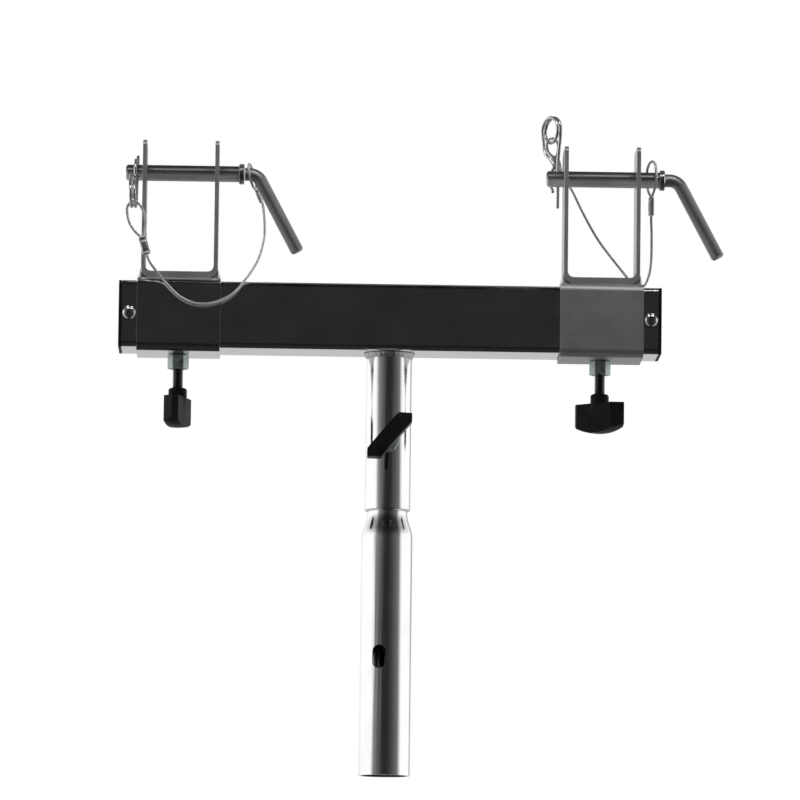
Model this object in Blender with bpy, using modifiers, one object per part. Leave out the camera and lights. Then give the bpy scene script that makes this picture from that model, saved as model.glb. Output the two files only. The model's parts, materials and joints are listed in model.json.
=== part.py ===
"""Truss support head for a lighting stand, standing on the top of the stand's mast.

A square crossbar is welded across a stem, and the stem sits over the swaged neck of the mast.
Two sleeves slide on the crossbar. Each carries a U-shaped cradle for a truss chord, closed by a
locking pin with a bent handle, a spring clip through the pin's end and a wire lanyard between
the two. Three wing screws clamp the sleeves to the bar and the stem to the mast.

Metres, +Z up. The origin is the centre of the mast's lower end. The front is the -Y side.
"""
import math

import bmesh
import bpy
from mathutils import Matrix, Vector

# Gaps that keep neighbouring solids apart
SEAT = 0.0003            # between two faces that touch on the real product
HOLE_PLAY = 0.0003       # between a fixed fastener and its hole, all round

# Crossbar
BAR_SIDE = 0.050
BAR_WALL = 0.003
BAR_CORNER = 0.004
BAR_LENGTH = 0.404       # over both end plugs
BAR_HEIGHT = 0.340       # axis of the bar above the mast's lower end
PLUG_FLANGE = 0.002
PLUG_DEPTH = 0.012
PLUG_WALL = 0.002

# Stop screws near the ends of the bar
STOP_DIAMETER = 0.006
STOP_HEAD = 0.0105
STOP_HEAD_HEIGHT = 0.0036
STOP_SOCKET = 0.004
STOP_SOCKET_DEPTH = 0.0020
STOP_NUT = 0.010
STOP_NUT_HEIGHT = 0.005
STOP_TAIL = 0.002        # thread showing past the nut
STOP_INSET = 0.00795     # screw axis to the end of the bar

# Stem and its weld
STEM_DIAMETER = 0.034
STEM_WALL = 0.002
STEM_LENGTH = 0.118
STEM_RIM = 0.0015        # rounding of the lower edge
STEM_WELD = 0.0032

# Mast
MAST_DIAMETER = 0.038
MAST_WALL = 0.002
NECK_PLAY = 0.0003       # neck to stem bore, on the radius
NECK_LENGTH = 0.075
SHOULDER_HEIGHT = 0.020
SLOT_WIDTH = 0.010
SLOT_HEIGHT = 0.0174
SLOT_ABOVE_END = 0.0875
SLOT_TURN = math.radians(-16.5)

# Sleeves
SLEEVE_LENGTH = 0.062
SLEEVE_WALL = 0.002
SLEEVE_PLAY = 0.0006     # sleeve to bar, on each side
SLEEVE_CORNER = 0.006

# Cradles, each a strap bent to a U with a thicker floor
CHORD_GAP = 0.051        # clear width between the uprights
STRAP_THICKNESS = 0.003
FLOOR_THICKNESS = 0.005
STRAP_DEPTH = 0.040
STRAP_INNER_BEND = 0.0045
STRAP_TOP_ROUND = 0.006
UPRIGHT_HEIGHT = 0.1039  # outside height of the cradle
PIN_BELOW_TOP = 0.0225
CRADLE_WELD_REACH = 0.0022
CRADLE_WELD_LENGTH = 0.034

# Locking pins
PIN_DIAMETER = 0.012
PIN_HOLE_PLAY = 0.0004
PIN_END = 0.0413         # free end, from the middle of the cradle
PIN_CHAMFER = 0.0016
COLLAR_START = 0.0432
COLLAR_WIDTH = 0.0042
COLLAR_DIAMETER = 0.0155
HANDLE_DIAMETER = 0.0098
HANDLE_CORNER = 0.057    # where the pin's axis meets the handle's axis
HANDLE_REACH = 0.066     # from that corner to the handle's end
HANDLE_DROP = math.radians(61.9)
HANDLE_BEND = 0.010
HANDLE_CHAMFER = 0.0012

# Spring clips
CLIP_WIRE = 0.0025
CLIP_HOLE_PLAY = 0.0004
CLIP_INSET = 0.0085      # clip hole to the pin's free end
CLIP_TAIL = 0.0224       # straight leg past the pin's axis
CLIP_COIL_HEIGHT = 0.0375
CLIP_COIL_SIDE = 0.006
CLIP_COIL_RADIUS = 0.0095
CLIP_TURN_PITCH = 0.0029
CLIP_COIL_TURNS = 1.5
CLIP_NECK_HEIGHT = 0.0125
CLIP_BULGE = 0.0094      # sprung leg's centreline from the pin's axis
LEFT_CLIP_LEAN = math.radians(48)    # hangs forward of straight down
RIGHT_CLIP_TURN = math.radians(30)   # stands up, turned about its straight leg

# Wing screws
SCREW_DIAMETER = 0.008
CLAMP_NUT = 0.014
CLAMP_NUT_HEIGHT = 0.0105
SCREW_SHOWING = 0.0143   # bare shank between nut and knob when clamped
SCREW_IN_KNOB = 0.016
KNOB_HUB_DIAMETER = 0.0138
KNOB_HUB_HEIGHT = 0.007
KNOB_HUB_ROUND = 0.0015
KNOB_HUB_TAPER = 0.8      # hub's width where it ends inside the wing
KNOB_LENGTH = 0.0458
KNOB_THICKNESS = 0.0118
KNOB_HEIGHT = 0.0225
KNOB_DOME = 0.045
KNOB_TIP_OFFSET = 0.002
KNOB_LONG_SIDE = 0.0183
KNOB_SHORT_SIDE = 0.0166
STEM_SCREW_DROP = 0.0675             # below the bar's underside
LEFT_KNOB_TURN = math.radians(75)
RIGHT_KNOB_TURN = math.radians(-45)
STEM_KNOB_TURN = math.radians(-49.7)

# Lanyards
WIRE = 0.002
FERRULE_LENGTH = 0.0135
FERRULE_WIDTH = 0.0062
FERRULE_THICKNESS = 0.0038
EYE_POINTS = 21
WIRE_POINTS = 34

# Places worked out from the sizes above
BAR_TOP = BAR_HEIGHT + BAR_SIDE / 2
BAR_UNDERSIDE = BAR_HEIGHT - BAR_SIDE / 2
STOP_X = BAR_LENGTH / 2 - STOP_INSET
SLEEVE_SIDE = BAR_SIDE + 2 * (SLEEVE_PLAY + SLEEVE_WALL)
SLEEVE_DROP = SLEEVE_PLAY - SEAT     # the sleeve hangs on the bar's top face
SLEEVE_X = STOP_X - STOP_HEAD / 2 - SEAT - SLEEVE_LENGTH / 2
SLEEVE_TOP = SLEEVE_SIDE / 2 - SLEEVE_DROP
SLEEVE_UNDERSIDE = -SLEEVE_SIDE / 2 - SLEEVE_DROP
CRADLE_BASE = SLEEVE_TOP + SEAT
CRADLE_WIDTH = CHORD_GAP + 2 * STRAP_THICKNESS
STRAP_OUTER_BEND = STRAP_INNER_BEND + STRAP_THICKNESS
PIN_Z = CRADLE_BASE + UPRIGHT_HEIGHT - PIN_BELOW_TOP
CLIP_X = CLIP_INSET - PIN_END
STEM_TOP = BAR_UNDERSIDE - SEAT
STEM_BOTTOM = STEM_TOP - STEM_LENGTH
NECK_DIAMETER = STEM_DIAMETER - 2 * STEM_WALL - 2 * NECK_PLAY
CLAMP_AT_SLEEVE = SLEEVE_UNDERSIDE + BAR_SIDE / 2 - SEAT    # nut face below the bar, negative
CLAMP_AT_STEM = NECK_DIAMETER / 2 - STEM_DIAMETER / 2 - SEAT

PART_NAME = "truss_support_head"


def clear_scene():
    for thing in list(bpy.data.objects):
        bpy.data.objects.remove(thing, do_unlink=True)


def make_collection(name):
    collection = bpy.data.collections.new(name)
    bpy.context.scene.collection.children.link(collection)
    return collection


def make_material(name, colour, roughness, metallic):
    material = bpy.data.materials.new(name)
    material.use_nodes = True
    shader = material.node_tree.nodes["Principled BSDF"]
    shader.inputs["Base Color"].default_value = (*colour, 1.0)
    shader.inputs["Roughness"].default_value = roughness
    shader.inputs["Metallic"].default_value = metallic
    return material


clear_scene()
PARTS = make_collection(PART_NAME)
CUTTERS = make_collection(PART_NAME + "_cutters")

PLATED = (0.72, 0.73, 0.74), 0.12, 1.0
PLATED_DULL = (0.55, 0.56, 0.57), 0.3, 1.0
WELD_METAL = (0.45, 0.46, 0.47), 0.4, 1.0
WIRE_METAL = (0.40, 0.41, 0.42), 0.4, 1.0
FERRULE_METAL = (0.62, 0.62, 0.63), 0.45, 1.0
BLACK_PLASTIC = (0.012, 0.012, 0.013), 0.35, 0.0


def finish(thing, name, look=None, parent=None, matrix=Matrix()):
    """Name a piece, put it in its collection, give it its own material and place it."""
    thing.name = name
    if look is None:
        CUTTERS.objects.link(thing)
        thing.hide_render = True
        thing.display_type = "WIRE"
    else:
        PARTS.objects.link(thing)
        thing.data.materials.clear()
        thing.data.materials.append(make_material(name + "_finish", *look))
    thing.parent = parent
    thing.matrix_local = matrix
    return thing


def empty(name, location, parent=None, matrix=Matrix()):
    """A frame on a joint's axis, which carries the pieces that move about it."""
    thing = bpy.data.objects.new(name, None)
    thing.empty_display_size = 0.01
    PARTS.objects.link(thing)
    thing.parent = parent
    thing.matrix_local = Matrix.Translation(location) @ matrix
    return thing


def rounded_rectangle(width, height, radius, steps=5):
    """Corner points of a rectangle with rounded corners, counter-clockwise."""
    points = []
    for quarter in range(4):
        across = 1 if quarter in (0, 3) else -1
        upward = 1 if quarter in (0, 1) else -1
        centre = Vector((across * (width / 2 - radius), upward * (height / 2 - radius)))
        for step in range(steps + 1):
            angle = math.radians(90) * (quarter + step / steps)
            points.append(centre + radius * Vector((math.cos(angle), math.sin(angle))))
    return points


def extruded(outlines, depth):
    """A solid with flat outlines in XY, later ones being holes, centred on Z with this depth."""
    curve = bpy.data.curves.new("outline", "CURVE")
    curve.dimensions = "2D"
    curve.fill_mode = "BOTH"
    curve.extrude = depth / 2
    for outline in outlines:
        spline = curve.splines.new("POLY")
        spline.points.add(len(outline) - 1)
        for target, point in zip(spline.points, outline):
            target.co = (point[0], point[1], 0.0, 1.0)
        spline.use_cyclic_u = True
    return meshed(curve)


def meshed(curve):
    """The curve as a closed mesh object, its caps welded on."""
    source = bpy.data.objects.new("curve", curve)
    bpy.context.scene.collection.objects.link(source)
    graph = bpy.context.evaluated_depsgraph_get()
    mesh = bpy.data.meshes.new_from_object(source.evaluated_get(graph))
    thing = bpy.data.objects.new("solid", mesh)
    thing.matrix_world = source.matrix_world
    bpy.data.objects.remove(source, do_unlink=True)
    shape = bmesh.new()
    shape.from_mesh(mesh)
    bmesh.ops.remove_doubles(shape, verts=shape.verts, dist=1e-6)
    bmesh.ops.recalc_face_normals(shape, faces=shape.faces)
    shape.to_mesh(mesh)
    shape.free()
    return thing


def turned(profile, steps, hollow=False):
    """A solid of revolution about Z. The profile of (radius, height) runs top to bottom outside."""
    mesh = bpy.data.meshes.new("profile")
    edges = [(i, i + 1) for i in range(len(profile) - 1)]
    if hollow:
        edges.append((len(profile) - 1, 0))
    mesh.from_pydata([(radius, 0.0, height) for radius, height in profile], edges, [])
    thing = bpy.data.objects.new("turned", mesh)
    screw = thing.modifiers.new("turn", "SCREW")
    screw.steps = steps
    screw.render_steps = steps
    screw.use_merge_vertices = True
    screw.merge_threshold = 1e-6
    screw.use_smooth_shade = True
    return thing


def cylinder(radius, low, high, steps=24):
    return turned([(0.0, high), (radius, high), (radius, low), (0.0, low)], steps)


def hexagon(across_flats, low, high):
    """A hexagonal prism about Z with two flats facing -Y and +Y."""
    mesh = bpy.data.meshes.new("hexagon")
    shape = bmesh.new()
    place = Matrix.Translation((0.0, 0.0, (low + high) / 2)) @ Matrix.Rotation(math.radians(30), 4, "Z")
    radius = across_flats / math.sqrt(3)
    bmesh.ops.create_cone(shape, segments=6, cap_ends=True, radius1=radius, radius2=radius,
                          depth=high - low, matrix=place)
    shape.to_mesh(mesh)
    shape.free()
    return bpy.data.objects.new("hexagon", mesh)


def tube(points, diameter, resolution, radii=None):
    """A round wire or bar along the points, with filled ends."""
    curve = bpy.data.curves.new("tube", "CURVE")
    curve.dimensions = "3D"
    curve.bevel_depth = diameter / 2
    curve.bevel_resolution = resolution
    curve.use_fill_caps = True
    spline = curve.splines.new("POLY")
    spline.points.add(len(points) - 1)
    for index, point in enumerate(points):
        spline.points[index].co = (*point, 1.0)
        spline.points[index].radius = radii[index] if radii else 1.0
        spline.use_smooth = True
    return bpy.data.objects.new("tube", curve)


def combine(target, tool, operation="DIFFERENCE"):
    """Cut the target with the tool, or join or intersect the two."""
    modifier = target.modifiers.new(tool.name, "BOOLEAN")
    modifier.operation = operation
    modifier.solver = "EXACT"
    modifier.object = tool


def turn(axis, degrees):
    return Matrix.Rotation(math.radians(degrees), 4, axis)


def shift(x=0.0, y=0.0, z=0.0):
    return Matrix.Translation((x, y, z))


ALONG_X = turn("Y", 90)         # takes a piece made about Z to the X axis
ALONG_Y = turn("X", -90)        # takes +Z to +Y
OUTLINE_YZ = turn("Z", 90) @ turn("X", 90)   # takes an outline in XY to the YZ plane
OUTLINE_XZ = turn("X", 90)      # takes an outline in XY to the XZ plane


def smooth_line(knots, count):
    """Points evenly spaced along a smooth curve through the knots."""
    ends = [2 * knots[0] - knots[1], *knots, 2 * knots[-1] - knots[-2]]
    fine = []
    for a, b, c, d in zip(ends, ends[1:], ends[2:], ends[3:]):
        for step in range(20):
            t = step / 20
            fine.append(0.5 * ((2 * b) + (c - a) * t + (2 * a - 5 * b + 4 * c - d) * t ** 2
                               + (3 * b - a - 3 * c + d) * t ** 3))
    fine.append(knots[-1])
    lengths = [0.0]
    for a, b in zip(fine, fine[1:]):
        lengths.append(lengths[-1] + (b - a).length)
    points = []
    index = 0
    for number in range(count):
        goal = lengths[-1] * number / (count - 1)
        while index < len(fine) - 2 and lengths[index + 1] < goal:
            index += 1
        share = (goal - lengths[index]) / (lengths[index + 1] - lengths[index])
        points.append(fine[index].lerp(fine[index + 1], min(share, 1.0)))
    return points


# Mast

def build_mast():
    outer, inner = MAST_DIAMETER / 2, MAST_DIAMETER / 2 - MAST_WALL
    neck = NECK_DIAMETER / 2
    neck_bore = neck - MAST_WALL
    shoulder_top = STEM_BOTTOM - SEAT
    shoulder_low = shoulder_top - SHOULDER_HEIGHT
    neck_top = STEM_BOTTOM + NECK_LENGTH

    def blend(share):
        """Eases from the mast's side at 0 to the neck at 1."""
        return (1 - math.cos(math.pi * share)) / 2

    shares = [0.0, 0.1, 0.2, 0.35, 0.5, 0.65, 0.8, 0.9, 1.0]
    swage = [(outer + (neck - outer) * blend(s), shoulder_low + SHOULDER_HEIGHT * s) for s in shares]
    bore = [(inner + (neck_bore - inner) * blend(s), shoulder_low + SHOULDER_HEIGHT * s) for s in shares]
    chamfer = MAST_WALL / 2
    profile = [(neck - chamfer, neck_top), (neck, neck_top - chamfer)]
    profile += list(reversed(swage)) + [(outer, 0.0), (inner, 0.0)] + bore
    profile += [(neck_bore, neck_top)]
    mast = finish(turned(profile, 40, hollow=True), "mast", PLATED)
    slot = rounded_rectangle(SLOT_WIDTH, SLOT_HEIGHT, SLOT_WIDTH / 2 - 1e-5, 6)
    reach = MAST_DIAMETER / 2
    place = turn("Z", math.degrees(SLOT_TURN)) @ shift(0.0, -reach, SLOT_ABOVE_END) @ OUTLINE_XZ
    combine(mast, finish(extruded([slot], MAST_DIAMETER / 2), "mast_slot_cutter", matrix=place))


# Crossbar, plugs and stop screws

def square_tube(side, wall, corner, length):
    outer = rounded_rectangle(side, side, corner)
    inner_side = side - 2 * wall
    inner = rounded_rectangle(inner_side, inner_side, max(corner - wall, wall / 3))
    return extruded([outer, inner], length)


def build_bar(head):
    length = BAR_LENGTH - 2 * (PLUG_FLANGE + SEAT)
    bar = finish(square_tube(BAR_SIDE, BAR_WALL, BAR_CORNER, length), "crossbar", PLATED, head,
                 shift(z=BAR_HEIGHT) @ OUTLINE_YZ)
    for side, sign in (("left", -1), ("right", 1)):
        place = shift(sign * STOP_X, 0.0, BAR_HEIGHT)
        drill = finish(cylinder(STOP_DIAMETER / 2 + HOLE_PLAY, -BAR_SIDE, BAR_SIDE),
                       side + "_stop_hole", parent=head, matrix=place @ ALONG_Y)
        combine(bar, drill)
        build_plug(side, sign, head, drill)
        build_stop(side, head, place)


def build_plug(side, sign, head, drill):
    """Black plug: a rounded flange over the bar's end, with a square collar pressed inside."""
    flange_side = BAR_SIDE
    flange = extruded([rounded_rectangle(flange_side, flange_side, BAR_CORNER)], PLUG_FLANGE)
    face = BAR_LENGTH / 2 - PLUG_FLANGE / 2
    plug = finish(flange, side + "_end_plug", BLACK_PLASTIC, head,
                  shift(sign * face, 0.0, BAR_HEIGHT) @ OUTLINE_YZ)
    inner_corner = max(BAR_CORNER - BAR_WALL, BAR_WALL / 3)
    collar_side = BAR_SIDE - 2 * BAR_WALL - 2 * SEAT
    outer = rounded_rectangle(collar_side, collar_side, inner_corner)
    hollow_side = collar_side - 2 * PLUG_WALL
    hollow = rounded_rectangle(hollow_side, hollow_side, inner_corner)
    depth = PLUG_DEPTH + PLUG_FLANGE / 2
    middle = BAR_LENGTH / 2 - PLUG_FLANGE / 2 - depth / 2
    collar = finish(extruded([outer, hollow], depth), side + "_plug_collar", parent=head,
                    matrix=shift(sign * middle, 0.0, BAR_HEIGHT) @ OUTLINE_YZ)
    combine(plug, collar, "UNION")
    combine(plug, drill)


def build_stop(side, head, place):
    """Domed socket screw through the bar from the front, with a nut at the back."""
    face = BAR_SIDE / 2 + SEAT
    shank, rim = STOP_DIAMETER / 2, STOP_HEAD / 2
    nut_low, nut_high = face, face + STOP_NUT_HEIGHT
    tail = nut_high + STOP_TAIL
    top = face + STOP_HEAD_HEIGHT
    edge = STOP_HEAD_HEIGHT * 0.25
    dome = []
    for step in range(5):
        angle = math.radians(90) * (1 - step / 4)
        dome.append((STOP_SOCKET / 2 + (rim - STOP_SOCKET / 2) * math.cos(angle),
                     face + edge + (STOP_HEAD_HEIGHT - edge) * math.sin(angle)))
    profile = [(0.0, top), *dome, (rim, face), (shank, face), (shank, -tail), (0.0, -tail)]
    screw = finish(turned(profile, 24), side + "_stop_screw", PLATED_DULL, head,
                   place @ turn("X", 90))
    socket = hexagon(STOP_SOCKET, top - STOP_SOCKET_DEPTH, top + STOP_SOCKET_DEPTH)
    combine(screw, finish(socket, side + "_stop_socket", parent=head, matrix=place @ turn("X", 90)))
    nut = finish(hexagon(STOP_NUT, nut_low, nut_high), side + "_stop_nut", PLATED_DULL, head,
                 place @ ALONG_Y @ turn("Z", 90))
    bore = cylinder(shank + HOLE_PLAY, nut_low - STOP_TAIL, nut_high + STOP_TAIL)
    combine(nut, finish(bore, side + "_stop_nut_bore", parent=head, matrix=place @ ALONG_Y))


# Stem

def build_stem(head):
    outer, inner = STEM_DIAMETER / 2, STEM_DIAMETER / 2 - STEM_WALL
    rim = [(outer - STEM_RIM + STEM_RIM * math.cos(a), STEM_BOTTOM + STEM_RIM - STEM_RIM * math.sin(a))
           for a in (0.0, math.radians(30), math.radians(60), math.radians(90))]
    profile = [(inner, STEM_TOP), (outer, STEM_TOP), *rim, (inner, STEM_BOTTOM)]
    stem = finish(turned(profile, 40, hollow=True), "stem", PLATED, head)
    bead_inner = outer + SEAT
    bead_outer = outer + STEM_WELD
    bead = [(bead_inner, STEM_TOP), (bead_outer, STEM_TOP),
            (bead_outer - STEM_WELD * 0.1, STEM_TOP - STEM_WELD * 0.35),
            (bead_inner + STEM_WELD * 0.35, STEM_TOP - STEM_WELD * 0.95),
            (bead_inner, STEM_TOP - STEM_WELD * 1.25)]
    finish(turned(bead, 40, hollow=True), "stem_weld", WELD_METAL, head)
    axis = empty("stem_screw_axis", (0.0, -NECK_DIAMETER / 2, BAR_UNDERSIDE - STEM_SCREW_DROP),
                 head, ALONG_Y)
    drill = cylinder(SCREW_DIAMETER / 2 + HOLE_PLAY, CLAMP_AT_STEM - STEM_WALL, STEM_WALL / 2)
    combine(stem, finish(drill, "stem_screw_hole", parent=axis))
    build_wing_screw("stem", axis, CLAMP_AT_STEM, STEM_KNOB_TURN)


# Wing screws

def knob_outline():
    """Point-symmetric outline of the wing seen along the screw, its ends drawn to one side."""
    half, tip = KNOB_THICKNESS / 2, KNOB_LENGTH / 2
    right = [(KNOB_SHORT_SIDE, -half), (tip - 0.0006, KNOB_TIP_OFFSET - 0.0008),
             (tip, KNOB_TIP_OFFSET), (tip - 0.0008, KNOB_TIP_OFFSET + 0.0007),
             (KNOB_LONG_SIDE, half)]
    return right + [(-x, -y) for x, y in right]


def build_wing_screw(side, axis, nut_face, knob_turn):
    """Nut, shank and wing knob about Z, the clamped surface at 0 and the knob below."""
    nut_end = nut_face - CLAMP_NUT_HEIGHT
    hub_top = nut_end - SCREW_SHOWING
    wing_top = hub_top - KNOB_HUB_HEIGHT
    bottom = wing_top - KNOB_HEIGHT
    shank = SCREW_DIAMETER / 2
    tip = -SEAT
    chamfer = SCREW_DIAMETER / 10

    nut = finish(hexagon(CLAMP_NUT, nut_end, nut_face), side + "_weld_nut", PLATED_DULL, axis)
    bore = cylinder(shank + HOLE_PLAY, nut_end - SEAT * 4, nut_face + SEAT * 4)
    combine(nut, finish(bore, side + "_nut_bore", parent=axis))

    foot = hub_top - SCREW_IN_KNOB
    profile = [(0.0, tip), (shank - chamfer, tip), (shank, tip - chamfer), (shank, foot), (0.0, foot)]
    finish(turned(profile, 24), side + "_clamp_screw", PLATED_DULL, axis)

    spin = Matrix.Rotation(knob_turn, 4, "Z")
    middle = (wing_top + bottom) / 2
    below = 2 * SEAT       # cut away again by the dome
    knob = finish(extruded([knob_outline()], KNOB_HEIGHT + below), side + "_wing_knob", BLACK_PLASTIC,
                  axis, spin @ shift(z=middle - below / 2))
    reach = KNOB_LENGTH * 0.6
    dome = [(0.0, wing_top + SEAT), (reach, wing_top + SEAT)]
    fall = KNOB_DOME - math.sqrt(KNOB_DOME ** 2 - reach ** 2)
    for step in range(7):
        radius = reach * (1 - step / 6)
        rise = KNOB_DOME - math.sqrt(KNOB_DOME ** 2 - radius ** 2)
        dome.append((radius, bottom + rise))
    combine(knob, finish(turned(dome, 40), side + "_knob_dome", parent=axis), "INTERSECT")
    assert fall < KNOB_HEIGHT
    hub = KNOB_HUB_DIAMETER / 2
    round_off = KNOB_HUB_ROUND
    neck = [(0.0, hub_top), (hub - round_off, hub_top), (hub - round_off * 0.3, hub_top - round_off * 0.4),
            (hub, hub_top - round_off), (hub, wing_top), (hub * KNOB_HUB_TAPER, middle), (0.0, middle)]
    combine(knob, finish(turned(neck, 24), side + "_knob_hub", parent=axis), "UNION")
    pocket = cylinder(shank + HOLE_PLAY, foot - SEAT, hub_top + SEAT * 4)
    combine(knob, finish(pocket, side + "_knob_pocket", parent=axis))


# Sleeves and cradles

def build_sleeve(side, origin):
    tube_solid = square_tube(SLEEVE_SIDE, SLEEVE_WALL, SLEEVE_CORNER, SLEEVE_LENGTH)
    sleeve = finish(tube_solid, side + "_sleeve", PLATED, origin, shift(z=-SLEEVE_DROP) @ OUTLINE_YZ)
    drill = cylinder(SCREW_DIAMETER / 2 + HOLE_PLAY, SLEEVE_UNDERSIDE - SLEEVE_WALL,
                     SLEEVE_UNDERSIDE + 2 * SLEEVE_WALL)
    combine(sleeve, finish(drill, side + "_sleeve_hole", parent=origin))


def arc(centre, radius, start, end, steps):
    return [(centre[0] + radius * math.cos(start + (end - start) * i / steps),
             centre[1] + radius * math.sin(start + (end - start) * i / steps))
            for i in range(steps + 1)]


def build_cradle(side, origin):
    """A strap bent to a U, its uprights drilled for the pin, with a weld along each lower side."""
    outer, inner = CRADLE_WIDTH / 2, CHORD_GAP / 2
    quarter = math.radians(90)
    low = STRAP_OUTER_BEND
    outline = [(-outer, UPRIGHT_HEIGHT)]
    outline += arc((-outer + low, low), STRAP_OUTER_BEND, 2 * quarter, 3 * quarter, 5)
    outline += arc((outer - low, low), STRAP_OUTER_BEND, -quarter, 0.0, 5)
    outline += [(outer, UPRIGHT_HEIGHT), (inner, UPRIGHT_HEIGHT)]
    bend = FLOOR_THICKNESS + STRAP_INNER_BEND
    outline += arc((inner - STRAP_INNER_BEND, bend), STRAP_INNER_BEND, 0.0, -quarter, 5)
    outline += arc((-inner + STRAP_INNER_BEND, bend), STRAP_INNER_BEND, -quarter, -2 * quarter, 5)
    outline += [(-inner, UPRIGHT_HEIGHT)]
    place = shift(z=CRADLE_BASE) @ OUTLINE_XZ
    cradle = finish(extruded([outline], STRAP_DEPTH), side + "_cradle", PLATED, origin, place)
    tall = UPRIGHT_HEIGHT + 2 * STRAP_TOP_ROUND
    blank = rounded_rectangle(STRAP_DEPTH + 2 * SEAT, tall, STRAP_TOP_ROUND)
    lifted = shift(z=CRADLE_BASE + UPRIGHT_HEIGHT + SEAT - tall / 2) @ OUTLINE_YZ
    combine(cradle, finish(extruded([blank], 2 * CRADLE_WIDTH), side + "_cradle_blank", parent=origin,
                           matrix=lifted), "INTERSECT")
    drill = cylinder(PIN_DIAMETER / 2 + PIN_HOLE_PLAY, -CRADLE_WIDTH, CRADLE_WIDTH)
    combine(cradle, finish(drill, side + "_pin_hole", parent=origin, matrix=shift(z=PIN_Z) @ ALONG_X))
    build_cradle_welds(side, origin)


def build_cradle_welds(side, origin):
    """A bead that fills the corner under each bend of the strap, out onto the sleeve."""
    radius = STRAP_OUTER_BEND + SEAT
    centre = (CRADLE_WIDTH / 2 - STRAP_OUTER_BEND, STRAP_OUTER_BEND)
    hollow = arc(centre, radius, math.radians(-62), 0.0, 6)
    reach = CRADLE_WIDTH / 2 + CRADLE_WELD_REACH
    foot = hollow[0][0]
    outline = [(foot, 0.0), (reach, 0.0), (reach, CRADLE_WELD_REACH * 0.3),
               (CRADLE_WIDTH / 2 + SEAT + CRADLE_WELD_REACH * 0.35, STRAP_OUTER_BEND * 0.95)]
    outline += reversed(hollow)
    mirrored = [(-x, z) for x, z in reversed(outline)]
    place = shift(z=CRADLE_BASE) @ OUTLINE_XZ
    for end, bead in (("left", mirrored), ("right", outline)):
        finish(extruded([bead], CRADLE_WELD_LENGTH), side + "_cradle_weld_" + end, WELD_METAL,
               origin, place)


# Pins

def clip_frame(side):
    """Axes of a clip: Z along its straight leg towards the coil, Y towards its sprung leg."""
    if side == "left":
        lean = LEFT_CLIP_LEAN
        up = Vector((0.0, -math.sin(lean), -math.cos(lean)))
        across = Vector((0.0, -math.cos(lean), math.sin(lean)))
    else:
        up = Vector((0.0, 0.0, 1.0))
        across = Vector((-math.sin(RIGHT_CLIP_TURN), math.cos(RIGHT_CLIP_TURN), 0.0))
    third = across.cross(up)
    return Matrix((third, across, up)).transposed().to_4x4()


def handle_path():
    """Centreline of the bent handle, from the collar's outer face to the handle's end."""
    start = COLLAR_START + COLLAR_WIDTH + SEAT
    tangent = HANDLE_BEND * math.tan(HANDLE_DROP / 2)
    bend_start = HANDLE_CORNER - tangent
    points = [Vector((start, 0.0, 0.0))]
    for step in range(9):
        angle = HANDLE_DROP * step / 8
        points.append(Vector((bend_start + HANDLE_BEND * math.sin(angle), 0.0,
                              -HANDLE_BEND * (1 - math.cos(angle)))))
    direction = Vector((math.cos(HANDLE_DROP), 0.0, -math.sin(HANDLE_DROP)))
    end = Vector((HANDLE_CORNER, 0.0, 0.0)) + direction * HANDLE_REACH
    points.append(end - direction * HANDLE_CHAMFER)
    points.append(end)
    return points


def build_pin(side, axis):
    """The pin lies along X, with its middle between the uprights."""
    radius = PIN_DIAMETER / 2
    collar_end = COLLAR_START + COLLAR_WIDTH
    profile = [(0.0, collar_end), (radius, collar_end), (radius, -PIN_END + PIN_CHAMFER),
               (radius - PIN_CHAMFER * 0.35, -PIN_END + PIN_CHAMFER * 0.4),
               (radius - PIN_CHAMFER, -PIN_END), (0.0, -PIN_END)]
    pin = finish(turned(profile, 28), side + "_pin", PLATED, axis, ALONG_X)
    hole = cylinder(CLIP_WIRE / 2 + CLIP_HOLE_PLAY, -PIN_DIAMETER, PIN_DIAMETER, 16)
    combine(pin, finish(hole, side + "_clip_hole", parent=axis,
                        matrix=shift(CLIP_X) @ clip_frame(side)))
    bore, rim = radius + HOLE_PLAY, COLLAR_DIAMETER / 2
    bevel = COLLAR_WIDTH * 0.15
    ring = [(bore, collar_end), (rim - bevel, collar_end), (rim, collar_end - bevel),
            (rim, COLLAR_START + bevel), (rim - bevel, COLLAR_START), (bore, COLLAR_START)]
    finish(turned(ring, 28, hollow=True), side + "_pin_collar", PLATED_DULL, axis, ALONG_X)
    path = handle_path()
    radii = [1.0] * (len(path) - 1) + [1.0 - 2 * HANDLE_CHAMFER / HANDLE_DIAMETER]
    finish(tube(path, HANDLE_DIAMETER, 4, radii), side + "_pin_handle", PLATED, axis)


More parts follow.
